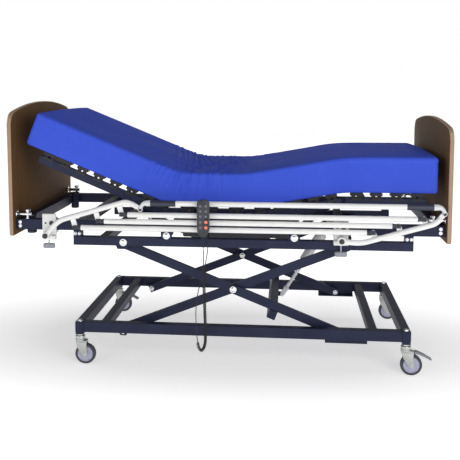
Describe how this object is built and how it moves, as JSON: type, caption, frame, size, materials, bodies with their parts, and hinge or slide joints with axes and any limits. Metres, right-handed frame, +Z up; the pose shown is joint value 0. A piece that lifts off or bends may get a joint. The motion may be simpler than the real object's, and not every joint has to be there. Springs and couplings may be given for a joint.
{
  "type": "care_bed",
  "caption": "Adjustable electric care bed with scissor lift on casters, raising back, thigh and leg sections, end boards, fold-down side rail, mattress and corded handset.",
  "frame": {"origin": "Floor level, under the middle of the whole bed's outer box, the side rail and handset included.", "axes": "X runs from the head end to the foot end, Z is up, and the side with the rail and the handset is towards minus Y. The frames' own middle plane is at Y = 0.0385 m."},
  "size_m": [2.038, 1.067, 1.255],
  "materials": {
    "navy_powder_coat": "satin",
    "off_white_coat": "satin",
    "zinc_plate": "satin",
    "black_plastic": "matte",
    "grey_plastic": "satin",
    "brown_laminate": "satin",
    "grey_rubber": "matte",
    "blue_cover": "matte",
    "red_plastic": "satin"
  },
  "bodies": {
    "base": {"base_side_near": "navy_powder_coat", "base_side_far": "navy_powder_coat", "base_end_head": "navy_powder_coat", "base_end_foot": "navy_powder_coat", "base_cross_head": "navy_powder_coat", "base_cross_foot": "navy_powder_coat"},
    "scissor_inner": {"scissor_inner_near": "navy_powder_coat", "scissor_inner_far": "navy_powder_coat"},
    "scissor_outer": {"scissor_outer_near": "navy_powder_coat", "scissor_outer_far": "navy_powder_coat", "scissor_cross": "navy_powder_coat"},
    "upper_frame": {"main_side_near": "navy_powder_coat", "main_side_far": "navy_powder_coat", "main_head": "navy_powder_coat", "main_cross": "navy_powder_coat", "sub_side_near": "navy_powder_coat", "sub_side_far": "navy_powder_coat", "sub_cross_head": "navy_powder_coat", "sub_cross_foot": "navy_powder_coat", "headboard": "brown_laminate", "footboard": "brown_laminate", "twin_drive": "black_plastic", "deck_seat": "navy_powder_coat", "mattress_seat": "blue_cover", "clamp_head": "off_white_coat", "clamp_foot": "off_white_coat", "handset": "black_plastic", "cord_lead_top": "black_plastic", "cord_curly": "black_plastic", "cord_lead_drive": "black_plastic"},
    "lift_tube": {"lift_tube": "grey_plastic"},
    "lift_rod": {"lift_rod": "zinc_plate"},
    "back_section": {"deck_back": "navy_powder_coat", "mattress_back": "blue_cover"},
    "thigh_section": {"deck_thigh": "navy_powder_coat", "mattress_thigh": "blue_cover"},
    "leg_section": {"deck_leg": "navy_powder_coat", "mattress_leg": "blue_cover"},
    "back_lever": {"back_lever": "navy_powder_coat"},
    "leg_lever": {"leg_lever": "navy_powder_coat"},
    "rail_arm_head": {"rail_arm_head": "off_white_coat"},
    "rail_arm_foot": {"rail_arm_foot": "off_white_coat"},
    "rail_low": {"rail_low": "off_white_coat"},
    "rail_mid": {"rail_mid": "off_white_coat"},
    "rail_high": {"rail_high": "off_white_coat"},
    "rail_top": {"rail_top": "off_white_coat"},
    "clamp_screw_head": {"clamp_screw_head": "grey_plastic"},
    "clamp_screw_foot": {"clamp_screw_foot": "grey_plastic"},
    "button_upper": {"button_upper": "red_plastic"},
    "button_lower": {"button_lower": "red_plastic"},
    "fork_head_near": {"caster_fork_head_near": "zinc_plate"},
    "wheel_head_near": {"caster_wheel_head_near": "grey_rubber"},
    "fork_head_far": {"caster_fork_head_far": "zinc_plate"},
    "wheel_head_far": {"caster_wheel_head_far": "grey_rubber"},
    "pedal_head_far": {"brake_pedal_head_far": "grey_plastic"},
    "fork_foot_near": {"caster_fork_foot_near": "zinc_plate"},
    "wheel_foot_near": {"caster_wheel_foot_near": "grey_rubber"},
    "pedal_foot_near": {"brake_pedal_foot_near": "grey_plastic"},
    "fork_foot_far": {"caster_fork_foot_far": "zinc_plate"},
    "wheel_foot_far": {"caster_wheel_foot_far": "grey_rubber"}
  },
  "joints": [
    {"name": "swivel_head_near", "type": "hinge", "parent": "base", "child": "fork_head_near", "pos_m": [-0.7, -0.3985, 0.148], "axis": [0, 0, 1], "continuous": true},
    {"name": "roll_head_near", "type": "hinge", "parent": "fork_head_near", "child": "wheel_head_near", "pos_m": [-0.675, -0.3985, 0.05], "axis": [0, 1, 0], "continuous": true},
    {"name": "swivel_head_far", "type": "hinge", "parent": "base", "child": "fork_head_far", "pos_m": [-0.7, 0.4755, 0.148], "axis": [0, 0, 1], "continuous": true},
    {"name": "roll_head_far", "type": "hinge", "parent": "fork_head_far", "child": "wheel_head_far", "pos_m": [-0.675, 0.4755, 0.05], "axis": [0, 1, 0], "continuous": true},
    {"name": "brake_head_far", "type": "hinge", "parent": "fork_head_far", "child": "pedal_head_far", "pos_m": [-0.654, 0.4755, 0.11], "axis": [0, 1, 0], "range_deg": [0, 12]},
    {"name": "swivel_foot_near", "type": "hinge", "parent": "base", "child": "fork_foot_near", "pos_m": [0.84, -0.3985, 0.148], "axis": [0, 0, 1], "continuous": true},
    {"name": "roll_foot_near", "type": "hinge", "parent": "fork_foot_near", "child": "wheel_foot_near", "pos_m": [0.865, -0.3985, 0.05], "axis": [0, 1, 0], "continuous": true},
    {"name": "brake_foot_near", "type": "hinge", "parent": "fork_foot_near", "child": "pedal_foot_near", "pos_m": [0.886, -0.3985, 0.11], "axis": [0, 1, 0], "range_deg": [0, 12]},
    {"name": "swivel_foot_far", "type": "hinge", "parent": "base", "child": "fork_foot_far", "pos_m": [0.84, 0.4755, 0.148], "axis": [0, 0, 1], "continuous": true},
    {"name": "roll_foot_far", "type": "hinge", "parent": "fork_foot_far", "child": "wheel_foot_far", "pos_m": [0.865, 0.4755, 0.05], "axis": [0, 1, 0], "continuous": true},
    {"name": "lift", "type": "hinge", "parent": "base", "child": "scissor_inner", "pos_m": [-0.492, 0.0385, 0.163], "axis": [0, -1, 0], "range_deg": [-9.6, 7.4]},
    {"name": "scissor_centre", "type": "hinge", "parent": "scissor_inner", "child": "scissor_outer", "pos_m": [0.036, 0.0385, 0.372], "axis": [0, -1, 0], "range_deg": [-15, 19.4]},
    {"name": "scissor_top", "type": "hinge", "parent": "scissor_outer", "child": "upper_frame", "pos_m": [-0.492, 0.0385, 0.581], "axis": [0, -1, 0], "range_deg": [-9.7, 7.5]},
    {"name": "lift_tube_swing", "type": "hinge", "parent": "upper_frame", "child": "lift_tube", "pos_m": [0.488, 0.0385, 0.601], "axis": [0, -1, 0], "range_deg": [-3.66, 2.86]},
    {"name": "lift_stroke", "type": "slide", "parent": "lift_tube", "child": "lift_rod", "axis": [-0.5334, 0, -0.8459], "range_m": [-0.1377, 0.1066]},
    {"name": "back_lift", "type": "hinge", "parent": "upper_frame", "child": "back_section", "pos_m": [-0.235, 0.0385, 0.762], "axis": [0, 1, 0], "range_deg": [-22.3, 37.7]},
    {"name": "back_lever_turn", "type": "hinge", "parent": "upper_frame", "child": "back_lever", "pos_m": [-0.273, 0.0385, 0.638], "axis": [0, 1, 0], "range_deg": [-19.8, 33.4]},
    {"name": "thigh_lift", "type": "hinge", "parent": "upper_frame", "child": "thigh_section", "pos_m": [0.11, 0.0385, 0.762], "axis": [0, -1, 0], "range_deg": [-10, 18]},
    {"name": "knee", "type": "hinge", "parent": "thigh_section", "child": "leg_section", "pos_m": [0.54331, 0.0385, 0.8384], "axis": [0, -1, 0], "range_deg": [-18.1, 10.1]},
    {"name": "leg_lever_turn", "type": "hinge", "parent": "upper_frame", "child": "leg_lever", "pos_m": [0.322, 0.0385, 0.638], "axis": [0, -1, 0], "range_deg": [-20.1, 36.1]},
    {"name": "side_rail", "type": "hinge", "parent": "upper_frame", "child": "rail_arm_head", "pos_m": [-0.833, -0.4815, 0.64], "axis": [0, -1, 0], "range_deg": [0, 64]},
    {"name": "rail_foot_arm", "type": "hinge", "parent": "upper_frame", "child": "rail_arm_foot", "pos_m": [0.533, -0.4815, 0.64], "axis": [0, -1, 0], "range_deg": [-0.1, 64.1]},
    {"name": "rail_low_pin", "type": "hinge", "parent": "rail_arm_head", "child": "rail_low", "pos_m": [-0.69376, -0.4815, 0.68045], "axis": [0, -1, 0], "range_deg": [-64.1, 0.1]},
    {"name": "rail_mid_pin", "type": "hinge", "parent": "rail_arm_head", "child": "rail_mid", "pos_m": [-0.58332, -0.4815, 0.71254], "axis": [0, -1, 0], "range_deg": [-64.1, 0.1]},
    {"name": "rail_high_pin", "type": "hinge", "parent": "rail_arm_head", "child": "rail_high", "pos_m": [-0.47289, -0.4815, 0.74462], "axis": [0, -1, 0], "range_deg": [-64.1, 0.1]},
    {"name": "rail_top_pin", "type": "hinge", "parent": "rail_arm_head", "child": "rail_top", "pos_m": [-0.38454, -0.4815, 0.77029], "axis": [0, -1, 0], "range_deg": [-64.1, 0.1]},
    {"name": "clamp_turn_head", "type": "hinge", "parent": "upper_frame", "child": "clamp_screw_head", "pos_m": [-0.833, -0.436, 0.6], "axis": [0, 0, 1], "continuous": true},
    {"name": "clamp_turn_foot", "type": "hinge", "parent": "upper_frame", "child": "clamp_screw_foot", "pos_m": [0.533, -0.436, 0.6], "axis": [0, 0, 1], "continuous": true},
    {"name": "press_upper", "type": "slide", "parent": "upper_frame", "child": "button_upper", "axis": [0, 1, 0], "range_m": [0, 0.0018], "stiffness_N_per_m": 200},
    {"name": "press_lower", "type": "slide", "parent": "upper_frame", "child": "button_lower", "axis": [0, 1, 0], "range_m": [0, 0.0018], "stiffness_N_per_m": 200}
  ],
  "couplings": [
    {"joint": "scissor_centre", "follows": "lift", "ratio": -2},
    {"joint": "scissor_top", "follows": "lift", "ratio": 1},
    {"joint": "lift_tube_swing", "follows": "lift", "ratio": 0.36},
    {"joint": "lift_stroke", "follows": "lift", "m_per_rad": 0.81},
    {"joint": "back_lever_turn", "follows": "back_lift", "ratio": 0.88},
    {"joint": "knee", "follows": "thigh_lift", "ratio": -1},
    {"joint": "leg_lever_turn", "follows": "thigh_lift", "ratio": 2},
    {"joint": "rail_foot_arm", "follows": "side_rail", "ratio": 1},
    {"joint": "rail_low_pin", "follows": "side_rail", "ratio": -1},
    {"joint": "rail_mid_pin", "follows": "side_rail", "ratio": -1},
    {"joint": "rail_high_pin", "follows": "side_rail", "ratio": -1},
    {"joint": "rail_top_pin", "follows": "side_rail", "ratio": -1}
  ]
}
